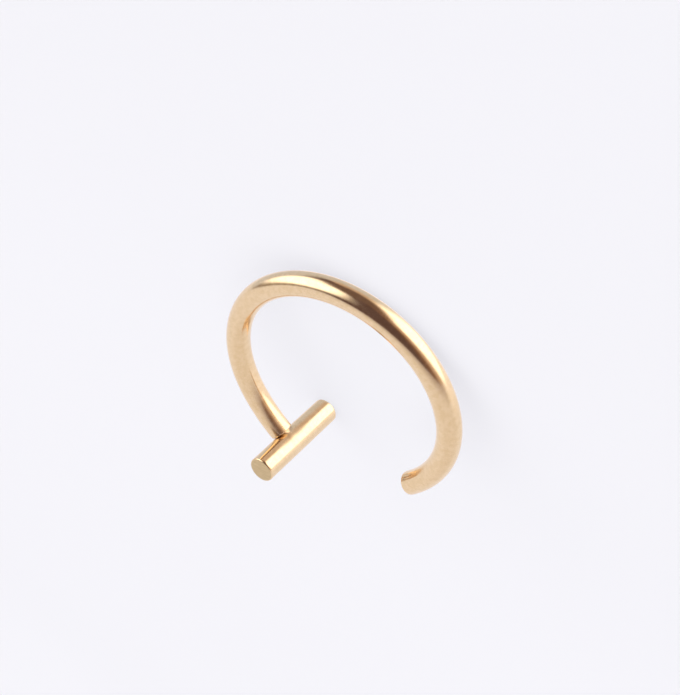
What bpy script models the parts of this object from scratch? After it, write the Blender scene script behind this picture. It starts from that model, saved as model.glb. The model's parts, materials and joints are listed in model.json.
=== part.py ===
"""Clip-on lip ring: an open hoop of round wire with a short round bar soldered across one end.

The ring is drawn in a flat frame of its own. The middle line of the wire bends round in X and Y,
with the middle of its length at -Y, the bar at +X and the mouth between bar and cut end at +Y.
The drawn ring is then laid down on its side, as it rests on a table by itself."""
import bpy
import bmesh
from math import cos, pi, radians, sin, sqrt
from mathutils import Matrix, Vector

# Driving sizes, in metres and degrees

WIRE_DIAMETER = 0.00100
HOOP_RADIUS = 0.00490            # to the middle of the wire
WIRE_LENGTH = 0.02424            # along the middle of the wire, from the bar's skin to the cut end
STRAIGHTER_LENGTH = 0.00442      # last stretch before the bar, where the bend opens out
STRAIGHTER_BEND = 0.63           # bend that is left at the bar, as a share of the hoop's
CUT_END_ROUNDING = 0.00009

BAR_DIAMETER = 0.00114
BAR_LENGTH = 0.00460
BAR_SHORT_SIDE = 0.00205         # from the middle of the wire to the bar's upper end
BAR_LEAN = 4.3                   # how far the bar's lower end leans away from the wire
BAR_END_ROUNDING = 0.00009

SOLDER_FILLET = 0.00012

# Faces of the round forms

WIRE_SIDES = 24
WIRE_STEPS = 96
BAR_SIDES = 32
ROUNDING_STEPS = 3
SHARP_ANGLE = 40

# How the forms are set into each other before they become one solid

WIRE_ROOT = 0.8                  # depth of the wire in the bar, as a share of the bar's radius
SOLDER_INSIDE = 0.99             # width of the solder's core, as a share of the wire's

WIRE_RADIUS = WIRE_DIAMETER / 2
BAR_RADIUS = BAR_DIAMETER / 2
BAR_LONG_SIDE = BAR_LENGTH - BAR_SHORT_SIDE
UP = Vector((0, 0, 1))


def clear_scene():
    for thing in list(bpy.data.objects):
        bpy.data.objects.remove(thing, do_unlink=True)


def polished_gold():
    material = bpy.data.materials.new("polished_gold")
    material.use_nodes = True
    shader = material.node_tree.nodes["Principled BSDF"]
    shader.inputs["Base Color"].default_value = (0.80, 0.58, 0.33, 1)
    shader.inputs["Metallic"].default_value = 1.0
    shader.inputs["Roughness"].default_value = 0.2
    return material


def eased(share):
    """A soft step from 0 to 1."""
    share = min(max(share, 0), 1)
    return share * share * (3 - 2 * share)


def bend_at(along):
    """Bend of the wire at a length from the bar: the hoop's, opened out near the bar."""
    opened = (1 - STRAIGHTER_BEND) * (1 - eased(along / STRAIGHTER_LENGTH))
    return (1 - opened) / HOOP_RADIUS


def heading(turned):
    """Direction of the wire where it has turned so far since the middle of its length."""
    return Vector((-cos(turned), sin(turned), 0))


def wire_line():
    """Places and directions along the middle of the wire, from the bar to the cut end."""
    step = WIRE_LENGTH / WIRE_STEPS
    turns = [0.0]
    for number in range(WIRE_STEPS):
        turns.append(turns[-1] + bend_at((number + 0.5) * step) * step)
    turns = [turned - turns[WIRE_STEPS // 2] for turned in turns]
    places = [Vector((0, 0, 0))]
    for before, after in zip(turns, turns[1:]):
        places.append(places[-1] + heading((before + after) / 2) * step)
    shift = Vector((0, -HOOP_RADIUS, 0)) - places[WIRE_STEPS // 2]
    return [(place + shift, heading(turned)) for place, turned in zip(places, turns)]


def outward(direction):
    """Away from the middle of the hoop, square to the wire."""
    return UP.cross(direction)


def bar_line(line):
    """The bar's middle line: the point under the wire, and the direction to its lower end."""
    start, direction = line[0]
    lean = radians(BAR_LEAN)
    return start - direction * BAR_RADIUS, -UP * cos(lean) - direction * sin(lean)


def circle(centre, across, upwards, radius, sides):
    turns = [2 * pi * side / sides for side in range(sides)]
    return [centre + (across * cos(turn) + upwards * sin(turn)) * radius for turn in turns]


def rounded_edge(rounding):
    """Steps round an edge, up to the end face: the way left to it, and how far it is drawn in."""
    quarters = [pi / 2 * step / ROUNDING_STEPS for step in range(ROUNDING_STEPS + 1)]
    return [(rounding * (1 - sin(quarter)), rounding * (1 - cos(quarter))) for quarter in quarters]


def body_through(name, rings):
    """One closed body through rings of points that follow each other along its length."""
    form = bmesh.new()
    loops = [[form.verts.new(point) for point in ring] for ring in rings]
    for before, after in zip(loops, loops[1:]):
        for side, corner in enumerate(before):
            form.faces.new((corner, before[side - 1], after[side - 1], after[side]))
    form.faces.new(loops[0])
    form.faces.new(loops[-1])
    bmesh.ops.recalc_face_normals(form, faces=form.faces)
    mesh = bpy.data.meshes.new(name)
    form.to_mesh(mesh)
    form.free()
    mesh.shade_smooth()
    mesh.set_sharp_from_angle(angle=radians(SHARP_ANGLE))
    return mesh


def hoop_wire(line):
    """Round wire that starts inside the bar and has a plain cut at its other end."""
    start, direction = line[0]
    stations = [(start - direction * BAR_RADIUS * WIRE_ROOT, direction, WIRE_RADIUS)]
    stations += [(place, direction, WIRE_RADIUS) for place, direction in line[:-1]]
    end, direction = line[-1]
    for left, drawn_in in rounded_edge(CUT_END_ROUNDING):
        stations.append((end - direction * left, direction, WIRE_RADIUS - drawn_in))
    return body_through("hoop_wire", [circle(place, outward(direction), UP, radius, WIRE_SIDES)
                                      for place, direction, radius in stations])


def cross_bar(line):
    """Round bar across the wire's end, flat at both ends."""
    middle, lower = bar_line(line)
    across = outward(line[0][1])
    upwards = lower.cross(across)
    edge = rounded_edge(BAR_END_ROUNDING)
    stations = [(left - BAR_SHORT_SIDE, drawn_in) for left, drawn_in in reversed(edge)]
    stations += [(BAR_LONG_SIDE - left, drawn_in) for left, drawn_in in edge]
    return body_through("cross_bar", [
        circle(middle + lower * along, across, upwards, BAR_RADIUS - drawn_in, BAR_SIDES)
        for along, drawn_in in stations])


def solder(line):
    """Solder in the corner between wire and bar: a foot that spreads along the bar's skin."""
    middle, lower = bar_line(line)
    direction = line[0][1]
    across = outward(direction)
    reach = WIRE_RADIUS * SOLDER_INSIDE
    turns = [2 * pi * side / WIRE_SIDES for side in range(WIRE_SIDES)]

    def ring(spread, height_over):
        points = []
        for turn in turns:
            sideways = reach * cos(turn)
            along = (reach + spread) * sin(turn)
            points.append(middle + across * sideways + lower * along
                          + direction * height_over(sideways))
        return points

    def skin(sideways):
        return sqrt(BAR_RADIUS ** 2 - sideways ** 2)

    rings = [ring(SOLDER_FILLET, lambda sideways: 0)]
    for left, drawn_in in rounded_edge(SOLDER_FILLET):
        rings.append(ring(left, lambda sideways: skin(sideways) + drawn_in))
    rings.append(ring(0, lambda sideways: BAR_RADIUS + 2 * SOLDER_FILLET))
    return body_through("solder", rings)


def middle_of_mass(line):
    bar_middle, lower = bar_line(line)
    bar_middle = bar_middle + lower * (BAR_LENGTH / 2 - BAR_SHORT_SIDE)
    wire_middle = sum((place for place, _ in line), Vector()) / len(line)
    wire_volume = WIRE_LENGTH * WIRE_RADIUS ** 2
    bar_volume = BAR_LENGTH * BAR_RADIUS ** 2
    return (wire_middle * wire_volume + bar_middle * bar_volume) / (wire_volume + bar_volume)


def reach_of_bar(line, down):
    """How far the bar's lower rim reaches in a direction."""
    middle, lower = bar_line(line)
    centre = middle + lower * (BAR_LONG_SIDE - BAR_END_ROUNDING)
    rim = (BAR_RADIUS - BAR_END_ROUNDING) * sqrt(max(1 - down.dot(lower) ** 2, 0))
    return down.dot(centre) + rim + BAR_END_ROUNDING


def down_where_it_touches(line, place, direction):
    """Straight down when the ring lies on the bar's rim and on this place of the hoop."""
    least, most = 0, pi / 4
    for _ in range(40):
        tilt = (least + most) / 2
        down = outward(direction) * sin(tilt) - UP * cos(tilt)
        if down.dot(place) + WIRE_RADIUS < reach_of_bar(line, down):
            least = tilt
        else:
            most = tilt
    return down


def resting_down(line):
    """Of all the ways to lie on bar and hoop, the one with the middle of mass lowest."""
    mass = middle_of_mass(line)
    ways = [down_where_it_touches(line, place, direction) for place, direction in line[1:-1]]
    return min(ways, key=lambda down: reach_of_bar(line, down) - down.dot(mass))


def laid_down(line, points):
    """Turn and place of the lying ring: bar and cut end side by side along X, centred, floor at 0."""
    height = -resting_down(line)
    chord = line[0][0] - line[-1][0]
    along = (chord - height * chord.dot(height)).normalized()
    turn = Matrix((along, height.cross(along), height))
    turned = [turn @ point for point in points]
    lowest = [min(point[axis] for point in turned) for axis in range(3)]
    highest = [max(point[axis] for point in turned) for axis in range(3)]
    centre = Vector(((lowest[0] + highest[0]) / 2, (lowest[1] + highest[1]) / 2, lowest[2]))
    return Matrix.Translation(-centre) @ turn.to_4x4()


def place_in(parent, mesh, name):
    thing = bpy.data.objects.new(name, mesh)
    bpy.context.collection.objects.link(thing)
    thing.parent = parent
    return thing


def join_form(ring, mesh, name):
    """Fuses one more form into the ring."""
    form = place_in(ring.parent, mesh, name)
    form.hide_render = True
    form.display_type = "WIRE"
    fuse = ring.modifiers.new("fuse_" + name, "BOOLEAN")
    fuse.operation = "UNION"
    fuse.solver = "EXACT"
    fuse.object = form


def build():
    clear_scene()
    line = wire_line()
    wire = hoop_wire(line)
    bar = cross_bar(line)
    points = [corner.co for mesh in (wire, bar) for corner in mesh.vertices]
    lying = bpy.data.objects.new("lying_on_its_side", None)
    bpy.context.collection.objects.link(lying)
    lying.matrix_world = laid_down(line, points)
    ring = place_in(lying, wire, "lip_ring")
    ring.data.materials.append(polished_gold())
    join_form(ring, solder(line), "solder_form")
    join_form(ring, bar, "bar_form")


build()
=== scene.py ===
"""Looks of the clip-on lip ring: polished gold wire and bar, on a plain pale floor in soft light."""
import json
from math import atan2, cos, pi, radians, sin, sqrt

import bmesh
import bpy
from mathutils import Matrix, Quaternion, Vector

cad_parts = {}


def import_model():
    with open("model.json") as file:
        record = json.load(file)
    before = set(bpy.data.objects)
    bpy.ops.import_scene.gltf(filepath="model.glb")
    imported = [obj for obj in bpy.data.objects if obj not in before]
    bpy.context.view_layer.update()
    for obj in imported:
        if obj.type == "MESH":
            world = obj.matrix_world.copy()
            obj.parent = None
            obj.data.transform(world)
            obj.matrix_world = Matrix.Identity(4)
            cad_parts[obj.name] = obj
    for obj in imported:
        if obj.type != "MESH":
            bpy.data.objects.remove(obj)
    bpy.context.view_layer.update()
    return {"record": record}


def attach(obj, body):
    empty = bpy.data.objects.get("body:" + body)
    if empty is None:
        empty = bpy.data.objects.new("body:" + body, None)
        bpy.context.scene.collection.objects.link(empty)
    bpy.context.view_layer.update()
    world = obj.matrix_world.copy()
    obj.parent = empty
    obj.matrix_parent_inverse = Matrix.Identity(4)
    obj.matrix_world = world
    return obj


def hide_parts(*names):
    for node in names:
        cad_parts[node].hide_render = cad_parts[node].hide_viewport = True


# Sizes of the ring, in metres, as it was built

WIRE_RADIUS = 0.00050
HOOP_RADIUS = 0.00490
WIRE_LENGTH = 0.02424
STRAIGHTER_LENGTH = 0.00442      # last stretch before the bar, where the bend opens out
STRAIGHTER_BEND = 0.63           # bend that is left at the bar, as a share of the hoop's
BAR_RADIUS = 0.00057
BAR_SHORT_SIDE = 0.00205         # from the middle of the wire to the bar's upper end
SOLDER_NECK = 0.00034            # radius of the solder between the wire's flat end and the bar
WIRE_END_GAP = 0.00005           # from the bar's crest to the wire's flat end

# Cage of the smooth surface

SIDES = 24
HOOP_STEPS = 80
STRAIGHTER_STEPS = 18
ROUNDS_OF_SMOOTHING = 2
RIM_HOLD = 0.00013               # from a rim to the cage rings that hold it tight
SECOND_HOLD = 2.4 * RIM_HOLD     # from the bar's rims to the next rows, which keep its side straight
SADDLE_HOLD = 0.00044            # length of wire left for the cage rings above the solder
SADDLE_ROW = 0.00050             # from the wire's middle line to the bar's cage rows beside it
OPENING_HALF_ANGLE = pi / 3      # how far the bar's cage is opened to each side of the solder
WIRE_END_STEPS = (0.72, 0.28)    # the last rings of the wire, the second of them tight at its rim
NECK_ROOT_HOLDS = (0.00002, -0.00001)    # rings in the wire's flat end, beyond the neck's radius
SOLDER_FOOT = (radians(41), SOLDER_NECK + 0.00002)   # how far it reaches round the bar and down it
FOOT_HOLD = (radians(52), SOLDER_NECK + 0.00009)     # the cage ring that holds it tight
SAME_PLACE = 1e-7

# Camera: where it looks from, and the photograph's frame

FRAME_PIXELS = (680, 695)
FOCAL_PIXELS = 1243.2
SENSOR_MILLIMETRES = 36.0
CAMERA_AZIMUTH = -33.440
CAMERA_ELEVATION = 26.253
CAMERA_ROLL = -140.137
CAMERA_DISTANCE = 0.0489
AIM = Vector((0.000550, -0.001070, 0.000417))
NEAREST_SEEN = 0.001

# Gold: colours in linear light, the marks left on it, and the painted shade in its solder crease and on
# its filed ends

GOLD = (0.785, 0.566, 0.322)
PALER_GOLD = (0.836, 0.620, 0.380)
POLISH_ROUGHNESS = 0.11
HAZE_ROUGHNESS = 0.10
HAZE_SCALE = 4500.0
GRAIN_SCALE = 16000.0
HAZE_SHARE = 0.7
POLISH_MARK_HEIGHT = 0.000004

# Painted shade: dull brown laid into the gold along the crease round the solder, where the crease lies in
# shade
PAINTED_CREASE_SHADE_BROWN = (0.42, 0.25, 0.12)
PAINTED_CREASE_SHADE_STRENGTH = 0.75
PAINTED_CREASE_SHADE_FADES = (0.00049, 0.00062)          # from the middle of the solder
PAINTED_CREASE_SHADE_WAVER = 0.00008
UNREACHED_FADES = (0.0006, 0.0018)       # the corner at the bar, which the polishing wheel can't get into
UNREACHED_ROUGHNESS = 0.10

# Painted shade: the filed ends' gold is made darker than the polished gold; their roughness and strokes
# are their own
FILED_GOLD_PAINTED_SHADE = (0.555, 0.400, 0.207)
FILED_GOLD_PAINTED_SHADE_BRIGHT = (0.645, 0.478, 0.258)
FILED_ROUGHNESS = 0.26
STROKE_ROUGHNESS = 0.12
STROKE_HEIGHT = 0.000005
STROKE_TURN = (0.4, 0.9, 0.3)
STROKE_STRETCH = (3000.0, 30000.0, 8000.0)
FLAT_END_COSINE = 0.98                   # how squarely a filed face looks along its end's axis

# Floor, and the soft light on it

FLOOR_SIZE = 4.0
PLAIN_WHITE = (0.800, 0.808, 0.817)
FAINTLY_GREY = (0.790, 0.798, 0.807)
FLOOR_PATCH_SCALE = 12.0
FLOOR_LIGHT_STRENGTH = 1.14
FLOOR_LIGHT_SPREAD = 110

# Studio round the camera, as the gold reflects it: its tilt, and its colours in linear light

STUDIO_ELEVATION = 34.2                  # how steeply the camera looks down on its pale ground
STUDIO_ROLL = -8.4
BACKDROP = (0.935, 0.927, 0.970)
PANEL_LIGHT = (2.35, 2.35, 2.40)
DARK_LEFT = (0.13, 0.085, 0.09)
DARK_RIGHT = (0.24, 0.14, 0.11)
WALL_BY_RIGHT_PANEL = (0.70, 0.54, 0.45)
CEILING = (0.19, 0.13, 0.12)
WALL_BEHIND = (0.74, 0.78, 0.90)
LEFT_PANEL_FOOT = (0.36, 0.32, 0.29)
GROUND_FAR = (0.58, 0.53, 0.57)
GROUND_NEAR = (0.92, 0.91, 0.97)
GROUND_SIDES = (0.98, 0.99, 1.09)
GROUND_BY_RIGHT_PANEL = (1.18, 1.18, 1.28)


class Shade:
    """A value in a node tree. Arithmetic on it adds the Math nodes that work it out."""

    def __init__(self, tree, socket=None):
        self.tree = tree
        self.socket = socket

    def node(self, kind, settings=None, output=0, **inputs):
        """Adds a node: its settings, then the values or shades of its inputs by name or _number."""
        made = self.tree.nodes.new(kind)
        for name, setting in (settings or {}).items():
            setattr(made, name, setting)
        for name, given in inputs.items():
            if name.startswith("_"):
                socket = made.inputs[int(name[1:])]
            else:
                socket = made.inputs[name.replace("_", " ")]
            if isinstance(given, Shade):
                self.tree.links.new(given.socket, socket)
            else:
                socket.default_value = given
        return Shade(self.tree, made.outputs[output] if len(made.outputs) else None)

    def maths(self, operation, *values):
        """A Math node on these values, or on this one alone."""
        inputs = {f"_{number}": value for number, value in enumerate(values or (self,))}
        return self.node("ShaderNodeMath", {"operation": operation}, **inputs)

    def __add__(self, other):
        return self.maths("ADD", self, other)

    def __radd__(self, other):
        return self.maths("ADD", other, self)

    def __sub__(self, other):
        return self.maths("SUBTRACT", self, other)

    def __rsub__(self, other):
        return self.maths("SUBTRACT", other, self)

    def __mul__(self, other):
        return self.maths("MULTIPLY", self, other)

    def __rmul__(self, other):
        return self.maths("MULTIPLY", other, self)

    def rise(self, start, end):
        """Soft step from 0 at the start to 1 at the end."""
        return self.node("ShaderNodeMapRange", {"interpolation_type": "SMOOTHSTEP"},
                         Value=self, From_Min=start, From_Max=end)

    def dot(self, direction):
        return self.node("ShaderNodeVectorMath", {"operation": "DOT_PRODUCT"}, output="Value",
                         _0=self, _1=direction)

    def distance_to(self, place):
        return self.node("ShaderNodeVectorMath", {"operation": "DISTANCE"}, output="Value",
                         _0=self, _1=place)

    def mixed(self, first, second):
        """Between two colours, by this share."""
        return self.node("ShaderNodeMix", {"data_type": "RGBA"}, output=2,
                         _0=self, _6=as_colour(first), _7=as_colour(second))


def as_colour(given):
    return given if isinstance(given, Shade) else (*given, 1.0)


def empty_material(name):
    material = bpy.data.materials.new(name)
    material.use_nodes = True
    material.node_tree.nodes.clear()
    return material, Shade(material.node_tree)


def select_only(*things):
    bpy.ops.object.select_all(action="DESELECT")
    for thing in things:
        thing.select_set(True)
    bpy.context.view_layer.objects.active = things[-1]


def edit(thing):
    select_only(thing)
    bpy.ops.object.mode_set(mode="EDIT")


def leave_edit():
    bpy.ops.object.mode_set(mode="OBJECT")


def pick(thing, kind, wanted):
    """Selects, in edit mode, the corners, edges or faces of that kind that are wanted."""
    form = bmesh.from_edit_mesh(thing.data)
    bpy.context.tool_settings.mesh_select_mode = [kind == each for each in ("verts", "edges", "faces")]
    bpy.ops.mesh.select_all(action="DESELECT")
    for part in getattr(form, kind):
        part.select_set(bool(wanted(part)))
    form.select_flush_mode()
    bmesh.update_edit_mesh(thing.data)


def pick_open_edge(thing):
    pick(thing, "edges", lambda edge: edge.is_boundary)


def turned_to(length_axis, first_axis):
    """Angles of a primitive whose length runs along one axis and whose first corner lies on the other."""
    second_axis = length_axis.cross(first_axis)
    return Matrix((first_axis, second_axis, length_axis)).transposed().to_euler()


def eased(share):
    share = min(max(share, 0), 1)
    return share * share * (3 - 2 * share)


def bend_at(along):
    """Bend of the wire at a length from the bar, as it was built."""
    opened = (1 - STRAIGHTER_BEND) * (1 - eased(along / STRAIGHTER_LENGTH))
    return (1 - opened) / HOOP_RADIUS


def cage_radius(radius):
    """A smoothed cage shrinks: the radius at which it ends up at the one that is wanted."""
    return radius * 6 / (4 + 2 * cos(2 * pi / SIDES))


class Ring:
    """Places and directions of the built ring, from its mounts."""

    def __init__(self, record):
        mounts = {mount["name"]: mount for mount in record["mounts"]}
        place = {name: Vector(mount["pos_m"]) for name, mount in mounts.items()}
        self.bar_top = place["bar_upper_end"]
        self.bar_foot = place["bar_lower_end"]
        self.bar_length = (self.bar_foot - self.bar_top).length
        self.lower = (self.bar_foot - self.bar_top).normalized()
        self.bar_middle = self.bar_top + self.lower * BAR_SHORT_SIDE
        self.cut_end = place["cut_end"]
        self.cut_axis = Vector(mounts["cut_end"]["axis"]).normalized()
        self.normal = (self.bar_middle - self.cut_end).cross(self.cut_axis).normalized()
        self.out = self.normal.cross(self.cut_axis)      # at the cut end, away from the hoop's middle
        self.seam = self.bar_middle + BAR_RADIUS * self.side_of_wire()

    def side_of_wire(self):
        """Direction from the bar's middle line to the wire that is soldered to it."""
        centre = self.cut_end - self.out * HOOP_RADIUS
        tangent = self.normal.cross(self.bar_middle - centre)
        return -(tangent - self.lower * tangent.dot(self.lower)).normalized()


class Wire:
    """The wire as it is drawn out from its cut end: the cage, and where its open end has come to."""

    def __init__(self, ring):
        self.normal = ring.normal
        self.place = ring.cut_end.copy()
        self.out = ring.out.copy()
        bpy.ops.object.select_all(action="DESELECT")
        bpy.ops.mesh.primitive_circle_add(
            vertices=SIDES, radius=cage_radius(WIRE_RADIUS), fill_type="NGON",
            location=self.place, rotation=turned_to(ring.cut_axis, self.out))
        self.cage = bpy.context.object
        bpy.ops.object.transform_apply(location=True, rotation=True, scale=True)
        edit(self.cage)
        bpy.ops.mesh.select_all(action="SELECT")
        bpy.ops.mesh.inset(thickness=RIM_HOLD)
        pick_open_edge(self.cage)

    def draw(self, length, bend, steps):
        """Spins the open end on by a length of wire, bent evenly. The operator turns the other way."""
        centre = self.place - self.out / bend
        angle = length * bend
        bpy.ops.mesh.spin(steps=steps, angle=-angle, center=centre, axis=self.normal)
        turn = Matrix.Rotation(angle, 3, self.normal)
        self.place = centre + turn @ (self.place - centre)
        self.out = turn @ self.out


def make_wire(ring):
    """The hoop, from its rounded cut end to just above the bar."""
    wire = Wire(ring)
    wire.draw(RIM_HOLD, 1 / HOOP_RADIUS, 1)
    wire.draw(WIRE_LENGTH - STRAIGHTER_LENGTH - RIM_HOLD, 1 / HOOP_RADIUS, HOOP_STEPS)
    step = (STRAIGHTER_LENGTH - SADDLE_HOLD) / STRAIGHTER_STEPS
    for number in range(STRAIGHTER_STEPS):
        wire.draw(step, bend_at(STRAIGHTER_LENGTH - (number + 0.5) * step), 1)
    wire.draw(SADDLE_HOLD / 2, bend_at(0), 1)
    leave_edit()
    return wire


class Bar:
    """The bar's cage, and places on its skin: down it, and sideways towards the wire or round from it."""

    def __init__(self, ring, wire):
        self.ring = ring
        self.radius = cage_radius(BAR_RADIUS)
        self.wire_axis = (wire.place - ring.bar_middle).normalized()
        self.towards = (self.wire_axis - ring.lower * self.wire_axis.dot(ring.lower)).normalized()
        self.side = ring.lower.cross(self.towards)
        self.wire_slope = self.wire_axis.dot(ring.lower) / self.wire_axis.dot(self.towards)
        self.cage = None

    def down(self, place):
        return (place - self.ring.bar_middle).dot(self.ring.lower)

    def round_from_wire(self, place):
        """Angle round the bar, 0 where it faces the wire."""
        offset = place - self.ring.bar_middle
        return atan2(offset.dot(self.side), offset.dot(self.towards))

    def height_at(self, sideways):
        """How far the bar's cage stands towards the wire at a distance to its side."""
        return sqrt(self.radius ** 2 - sideways ** 2)

    def beside_wire(self, angle, reach):
        """Place on the bar's skin at an angle round the wire from its top, on a ring of that reach."""
        round_bar, down_bar = reach
        sideways = self.radius * sin(round_bar) * sin(angle)
        height = self.height_at(sideways)
        down = height * self.wire_slope - down_bar * cos(angle)
        return (self.ring.bar_middle + self.side * sideways + self.towards * height
                + self.ring.lower * down)

    def angle_on_ring(self, place, reach):
        """Angle round the wire of a place that beside_wire gave."""
        round_bar, down_bar = reach
        sideways = (place - self.ring.bar_middle).dot(self.side)
        along = (self.height_at(sideways) * self.wire_slope - self.down(place)) / down_bar
        return atan2(sideways / (self.radius * sin(round_bar)), along)


def slide_open_edge(thing, target_of):
    """Moves each corner of the cage's open edge, in edit mode, to its target."""
    form = bmesh.from_edit_mesh(thing.data)
    places = [corner.co.copy() for corner in form.verts if corner.is_boundary]
    for place in places:

        def is_there(corner):
            return corner.is_boundary and (corner.co - place).length < SAME_PLACE

        pick(thing, "verts", is_there)
        bpy.ops.transform.translate(value=target_of(place) - place)
    pick_open_edge(thing)


def make_bar(ring, wire):
    """The bar with rounded ends, open where the wire's solder meets it."""
    bar = Bar(ring, wire)
    bpy.ops.object.select_all(action="DESELECT")
    bpy.ops.mesh.primitive_cylinder_add(
        vertices=SIDES, radius=bar.radius, depth=ring.bar_length, end_fill_type="NGON",
        location=(ring.bar_top + ring.bar_foot) / 2, rotation=turned_to(ring.lower, bar.towards))
    bar.cage = bpy.context.object
    bpy.ops.object.transform_apply(location=True, rotation=True, scale=True)
    edit(bar.cage)
    upper, lower = -BAR_SHORT_SIDE, ring.bar_length - BAR_SHORT_SIDE
    rows = (upper + RIM_HOLD, upper + SECOND_HOLD,
            -2 * SADDLE_ROW, -SADDLE_ROW, -SADDLE_ROW / 2, 0, SADDLE_ROW / 2, SADDLE_ROW, 2 * SADDLE_ROW,
            lower / 2, lower - SECOND_HOLD, lower - RIM_HOLD)
    for down in rows:
        bpy.ops.mesh.select_all(action="SELECT")
        bpy.ops.mesh.bisect(plane_co=ring.bar_middle + ring.lower * down, plane_no=ring.lower)

    def is_end(face):
        return abs(face.normal.dot(ring.lower)) > 0.5

    def under_the_wire(face):
        middle = face.calc_center_median()
        return (not is_end(face) and abs(bar.down(middle)) < SADDLE_ROW
                and abs(bar.round_from_wire(middle)) < OPENING_HALF_ANGLE)

    pick(bar.cage, "faces", is_end)
    bpy.ops.mesh.inset(thickness=RIM_HOLD)
    pick(bar.cage, "faces", under_the_wire)
    bpy.ops.mesh.delete(type="FACE")
    open_for_solder(bar)
    leave_edit()
    return bar


def open_for_solder(bar):
    """Slides the opening's edge to a round one, and then in to the foot of the solder."""

    def angle_round_wire(place):
        round_bar = bar.round_from_wire(place)
        rows_down = bar.down(place) / SADDLE_ROW
        on_upper_or_lower_row = abs(rows_down) > 0.75
        if on_upper_or_lower_row:
            return pi - round_bar if rows_down > 0 else round_bar
        beside = pi / 2 + rows_down * (pi / 2 - OPENING_HALF_ANGLE)
        return beside if round_bar > 0 else -beside

    slide_open_edge(bar.cage, lambda place: bar.beside_wire(angle_round_wire(place), FOOT_HOLD))
    bpy.ops.mesh.extrude_region_move()
    slide_open_edge(
        bar.cage, lambda place: bar.beside_wire(bar.angle_on_ring(place, FOOT_HOLD), SOLDER_FOOT))


def shape_wire_end(bar, wire):
    """The wire's flat end with its rounded rim, just off the bar's crest, and the solder's root in it."""
    edit(wire.cage)
    pick_open_edge(wire.cage)
    crest = bar.ring.bar_middle + bar.wire_axis * (BAR_RADIUS + WIRE_END_GAP)
    to_crest = crest - wire.place
    for share in WIRE_END_STEPS:
        bpy.ops.mesh.extrude_region_move(TRANSFORM_OT_translate={"value": to_crest * share})
    for beyond_neck in NECK_ROOT_HOLDS:
        bpy.ops.mesh.extrude_region_move()
        scale = (SOLDER_NECK + beyond_neck) / open_radius(wire.cage, crest)
        bpy.ops.transform.resize(value=(scale, scale, scale), center_override=crest)
    leave_edit()


def open_radius(thing, middle):
    form = bmesh.from_edit_mesh(thing.data)
    return max((corner.co - middle).length for corner in form.verts if corner.is_boundary)


def join_cages(bar, wire):
    """Bridges the wire's end to the opening in the bar, and smooths the whole ring."""
    select_only(bar.cage, wire.cage)
    bpy.ops.object.join()
    ring_piece = wire.cage
    edit(ring_piece)
    pick_open_edge(ring_piece)
    bpy.ops.mesh.bridge_edge_loops()
    bpy.ops.mesh.select_all(action="SELECT")
    bpy.ops.mesh.remove_doubles(threshold=SAME_PLACE)
    bpy.ops.mesh.normals_make_consistent(inside=False)
    leave_edit()
    smoothing = ring_piece.modifiers.new("smoothing", "SUBSURF")
    smoothing.levels = smoothing.render_levels = ROUNDS_OF_SMOOTHING
    bpy.ops.object.modifier_apply(modifier=smoothing.name)
    bpy.ops.object.shade_smooth()
    ring_piece.name = ring_piece.data.name = "gold_ring"
    ring_piece.visible_diffuse = False
    return ring_piece


def finish_gold(ring, ring_piece):
    """Polished all over, but for the three flat ends."""
    ring_piece.data.materials.append(polished_gold(ring))
    # the second material gives the flat ends a darker gold, which is painted shade
    ring_piece.data.materials.append(filed_gold())
    ends = ((ring.bar_top, -ring.lower), (ring.bar_foot, ring.lower), (ring.cut_end, ring.cut_axis))

    def on_an_end(face):
        middle = face.calc_center_median()
        return any(face.normal.dot(axis) > FLAT_END_COSINE and (middle - place).length < BAR_RADIUS
                   for place, axis in ends)

    edit(ring_piece)
    pick(ring_piece, "faces", on_an_end)
    ring_piece.active_material_index = 1
    bpy.ops.object.material_slot_assign()
    leave_edit()


def polished_gold(ring):
    """Gold polished by hand: a faint haze, fine wavering marks, and painted shade as dull brown in the
    crease at the solder.
    """
    material, start = empty_material("polished_gold")
    place = start.node("ShaderNodeTexCoord", output="Object")
    haze = start.node("ShaderNodeTexNoise", Vector=place, Scale=HAZE_SCALE, Detail=3.0, Roughness=0.6)
    grain = start.node("ShaderNodeTexNoise", Vector=place, Scale=GRAIN_SCALE, Detail=2.0, Roughness=0.5)
    surface = haze * HAZE_SHARE + grain * (1 - HAZE_SHARE)
    marks = start.node("ShaderNodeBump", Strength=0.35, Distance=POLISH_MARK_HEIGHT, Height=surface)
    gold = surface.rise(0.35, 0.65).mixed(GOLD, PALER_GOLD)
    from_seam = place.distance_to(ring.seam)
    # painted shade: how strongly the dull brown of the crease round the solder is laid on
    seam = 1 - (from_seam + PAINTED_CREASE_SHADE_WAVER * grain).rise(*PAINTED_CREASE_SHADE_FADES)
    unreached = 1 - from_seam.rise(*UNREACHED_FADES)
    metal = start.node(
        "ShaderNodeBsdfPrincipled", Metallic=1.0, Normal=marks,
        Base_Color=(PAINTED_CREASE_SHADE_STRENGTH * seam).mixed(gold, PAINTED_CREASE_SHADE_BROWN),
        Roughness=POLISH_ROUGHNESS + HAZE_ROUGHNESS * haze + UNREACHED_ROUGHNESS * unreached)
    start.node("ShaderNodeOutputMaterial", Surface=metal)
    return material


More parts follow.
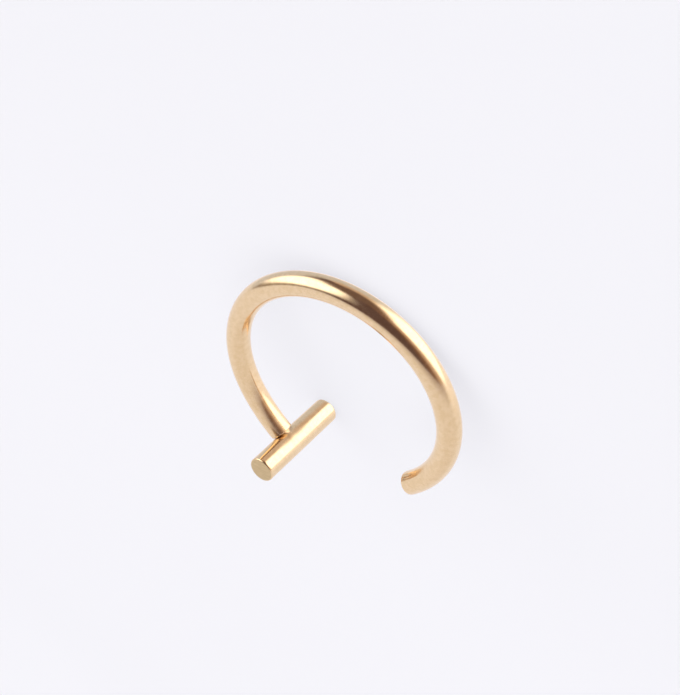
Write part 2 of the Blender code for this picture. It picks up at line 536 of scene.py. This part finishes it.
def filed_gold():
    """The cut ends: filed flat and not polished, so rougher, with fine strokes across; their darker gold
    is painted shade.
    """
    material, start = empty_material("filed_gold")
    place = start.node("ShaderNodeTexCoord", output="Object")
    along_file = start.node("ShaderNodeMapping", Vector=place, Rotation=STROKE_TURN, Scale=STROKE_STRETCH)
    strokes = start.node("ShaderNodeTexNoise", Vector=along_file, Scale=1.0, Detail=2.0)
    scratches = start.node("ShaderNodeBump", Strength=0.4, Distance=STROKE_HEIGHT, Height=strokes)
    # painted shade: the filed ends' base colour is darker gold; the strokes only vary it
    metal = start.node(
        "ShaderNodeBsdfPrincipled", Metallic=1.0, Normal=scratches,
        Base_Color=strokes.rise(0.3, 0.7).mixed(FILED_GOLD_PAINTED_SHADE, FILED_GOLD_PAINTED_SHADE_BRIGHT),
        Roughness=FILED_ROUGHNESS + STROKE_ROUGHNESS * strokes)
    start.node("ShaderNodeOutputMaterial", Surface=metal)
    return material


def plain_floor():
    material, start = empty_material("plain_floor")
    place = start.node("ShaderNodeTexCoord", output="Object")
    patches = start.node("ShaderNodeTexNoise", Vector=place, Scale=FLOOR_PATCH_SCALE, Detail=1.0)
    paint = start.node(
        "ShaderNodeBsdfPrincipled", Roughness=1.0, Specular_IOR_Level=0.0,
        Base_Color=patches.rise(0.3, 0.7).mixed(PLAIN_WHITE, FAINTLY_GREY))
    start.node("ShaderNodeOutputMaterial", Surface=paint)
    return material


def make_floor():
    bpy.ops.object.select_all(action="DESELECT")
    bpy.ops.mesh.primitive_plane_add(size=FLOOR_SIZE)
    floor = bpy.context.object
    floor.name = "floor"
    floor.data.materials.append(plain_floor())
    floor.visible_glossy = False
    floor.visible_shadow = False


def make_floor_light():
    """A broad soft light straight above, for the floor alone."""
    bpy.ops.object.light_add(type="SUN")
    light = bpy.context.object
    light.data.energy = FLOOR_LIGHT_STRENGTH
    light.data.angle = radians(FLOOR_LIGHT_SPREAD)
    light.visible_glossy = False


def camera_turn():
    """Direction from the aim back to the camera, and the camera's turn."""
    azimuth, elevation = radians(CAMERA_AZIMUTH), radians(CAMERA_ELEVATION)
    back = Vector((sin(azimuth) * cos(elevation), -cos(azimuth) * cos(elevation), sin(elevation)))
    upright = (-back).to_track_quat("-Z", "Y")
    return back, upright @ Quaternion((0, 0, 1), radians(CAMERA_ROLL))


def make_camera():
    back, turn = camera_turn()
    bpy.ops.object.camera_add(location=AIM + back * CAMERA_DISTANCE, rotation=turn.to_euler())
    camera = bpy.context.object
    camera.data.sensor_width = SENSOR_MILLIMETRES
    camera.data.lens = FOCAL_PIXELS * SENSOR_MILLIMETRES / max(FRAME_PIXELS)
    camera.data.clip_start = NEAREST_SEEN
    bpy.context.scene.camera = camera


class Studio:
    """The room as it is seen from the ring, in degrees round it and above its ground."""

    def __init__(self, start):
        direction = start.node("ShaderNodeTexCoord", output="Generated")
        up, front, right = (direction.dot(axis) for axis in self.studio_axes())
        self.height = up.maths("ARCSINE") * (180 / pi)
        self.around = right.maths("ARCTAN2", right, front) * (180 / pi)
        self.from_front = self.around.maths("ABSOLUTE")

    @staticmethod
    def studio_axes():
        """Up, front and right of the studio, which is tilted against the floor of this scene."""
        back, turn = camera_turn()
        right, up = turn @ Vector((1, 0, 0)), turn @ Vector((0, 1, 0))
        elevation, roll = radians(STUDIO_ELEVATION), radians(STUDIO_ROLL)
        studio_up = (up * cos(roll) + right * sin(roll)) * cos(elevation) + back * sin(elevation)
        front = (back - studio_up * back.dot(studio_up)).normalized()
        return studio_up, front, studio_up.cross(front)

    def right_of(self, place, soft, lean=0):
        """What lies right of an edge, which leans to the left by that many degrees for one of height."""
        across = self.around + lean * self.height if lean else self.around
        return across.rise(place - soft, place + soft)

    def left_of(self, place, soft, lean=0):
        return 1 - self.right_of(place, soft, lean)

    def above(self, place, soft, climb=0):
        """What lies above an edge, which climbs by that many degrees for one to the right."""
        upwards = self.height - climb * self.around if climb else self.height
        return upwards.rise(place - soft, place + soft)

    def below(self, place, soft, climb=0):
        return 1 - self.above(place, soft, climb)

    def beyond(self, place, soft):
        """What lies further round than that, on either side."""
        return self.from_front.rise(place - soft, place + soft)

    def panel(self, middle, half_size, soft):
        """A soft panel with round corners."""
        across = (self.around - middle[0]) * (1 / half_size[0])
        upwards = (self.height - middle[1]) * (1 / half_size[1])
        across_squared, upwards_squared = across * across, upwards * upwards
        fourth_powers = across_squared * across_squared + upwards_squared * upwards_squared
        return 1 - fourth_powers.maths("POWER", fourth_powers, 1 / 4).rise(1 - soft, 1 + soft)


def make_studio():
    """Two broad soft panels above a pale ground, in a dim room, and a plain backdrop for the camera."""
    world = bpy.data.worlds.new("studio")
    bpy.context.scene.world = world
    world.use_nodes = True
    world.node_tree.nodes.clear()
    start = Shade(world.node_tree)
    room = Studio(start)

    left_panel = (room.panel(middle=(-94, 40), half_size=(45, 24.5), soft=0.34)
                  * room.right_of(-119, soft=12, lean=0.5) * room.left_of(-63, soft=12, lean=-0.4))
    top_corner = room.below(43, soft=9, climb=0.35)
    right_panel = (room.panel(middle=(88, 18), half_size=(57, 39), soft=0.25)
                   * room.right_of(61, soft=16, lean=0.6) * top_corner
                   * room.left_of(140, soft=15, lean=0.4) * room.above(-15, soft=6, climb=0.12))
    right_glow = room.right_of(32, soft=14, lean=0.4) * top_corner
    back_wall = room.beyond(120, soft=8) * room.below(49, soft=11)
    left_foot = room.left_of(-64, soft=6) * room.right_of(-116, soft=8) * room.below(22, soft=5)

    light = room.right_of(5, soft=14).mixed(DARK_LEFT, DARK_RIGHT)
    light = right_glow.mixed(light, WALL_BY_RIGHT_PANEL)
    light = room.above(66, soft=10).mixed(light, CEILING)
    light = back_wall.mixed(light, WALL_BEHIND)
    light = left_foot.mixed(light, LEFT_PANEL_FOOT)
    light = left_panel.mixed(light, PANEL_LIGHT)
    light = right_panel.mixed(light, PANEL_LIGHT)

    ground = room.below(-16, soft=12).mixed(GROUND_FAR, GROUND_NEAR)
    ground = room.beyond(62, soft=16).mixed(ground, GROUND_SIDES)
    lit_ground = room.right_of(50, soft=16) * room.above(-24, soft=18)
    ground = lit_ground.mixed(ground, GROUND_BY_RIGHT_PANEL)
    dip_in_front = 7 * (1 - room.beyond(62, soft=12))
    ground_edge = 1 - (room.height + dip_in_front).rise(-1, 5)
    light = (ground_edge * (1 - right_panel)).mixed(light, ground)

    for_camera = start.node("ShaderNodeLightPath", output="Is Camera Ray")
    glow = start.node("ShaderNodeBackground", Color=for_camera.mixed(light, BACKDROP))
    start.node("ShaderNodeOutputWorld", Surface=glow)


def main():
    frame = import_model()
    ring = Ring(frame["record"])
    wire = make_wire(ring)
    bar = make_bar(ring, wire)
    shape_wire_end(bar, wire)
    ring_piece = join_cages(bar, wire)
    finish_gold(ring, ring_piece)
    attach(ring_piece, "root")
    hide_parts("lip_ring")
    make_floor()
    make_floor_light()
    make_studio()
    make_camera()
    bpy.context.scene.view_settings.view_transform = "Standard"


main()
